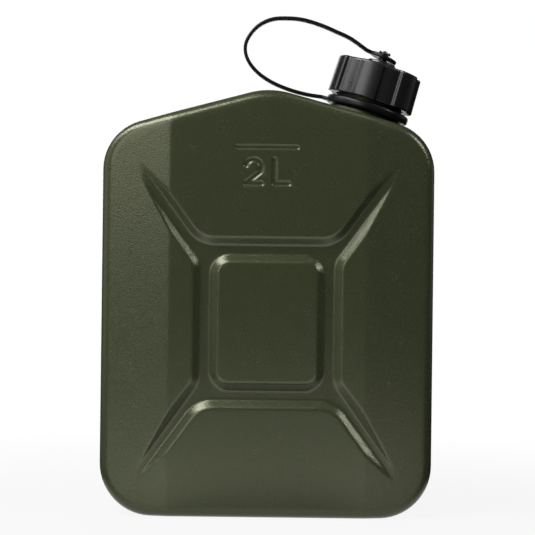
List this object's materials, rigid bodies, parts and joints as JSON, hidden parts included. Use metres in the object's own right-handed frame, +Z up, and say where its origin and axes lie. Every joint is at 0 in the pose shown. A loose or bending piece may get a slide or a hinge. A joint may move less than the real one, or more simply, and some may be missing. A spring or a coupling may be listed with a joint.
{
  "type": "fuel can",
  "caption": "Flat gable-topped pressed steel fuel can with a cross-shaped pressing on both faces, a slanted filler neck and a lobed screw cap held by a looped tether strap.",
  "frame": {"origin": "middle of the flat base, on the surface the can stands on", "axes": "+Z up, +X towards the filler neck's side, -Y towards the front face"},
  "size_m": [0.168, 0.072, 0.2562],
  "materials": {
    "olive_paint": "satin, finely textured powder coat",
    "black_moulding": "satin moulded",
    "black_rubber": "matt"
  },
  "bodies": {
    "can": {"front_shell": "olive_paint", "rear_shell": "olive_paint", "seam_weld": "olive_paint", "filler_neck": "olive_paint", "tether_ring": "black_moulding", "tether_strap": "black_moulding"},
    "eye": {"tether_eye": "black_moulding"},
    "cap": {"cap_shell": "black_moulding", "cap_seal": "black_rubber", "tether_stud": "black_moulding"}
  },
  "joints": [
    {"name": "cap_rise", "type": "slide", "parent": "can", "child": "eye", "axis": [0.2874, 0, 0.9578], "range_m": [0, 0.015], "deforming": ["tether_strap"]},
    {"name": "cap_turn", "type": "hinge", "parent": "eye", "child": "cap", "pos_m": [0.0492, 0, 0.20322], "axis": [0.2874, 0, 0.9578], "range_deg": [0, 1350]}
  ],
  "couplings": [
    {"joint": "cap_rise", "follows": "cap_turn", "m_per_rad": 0.0006366}
  ]
}
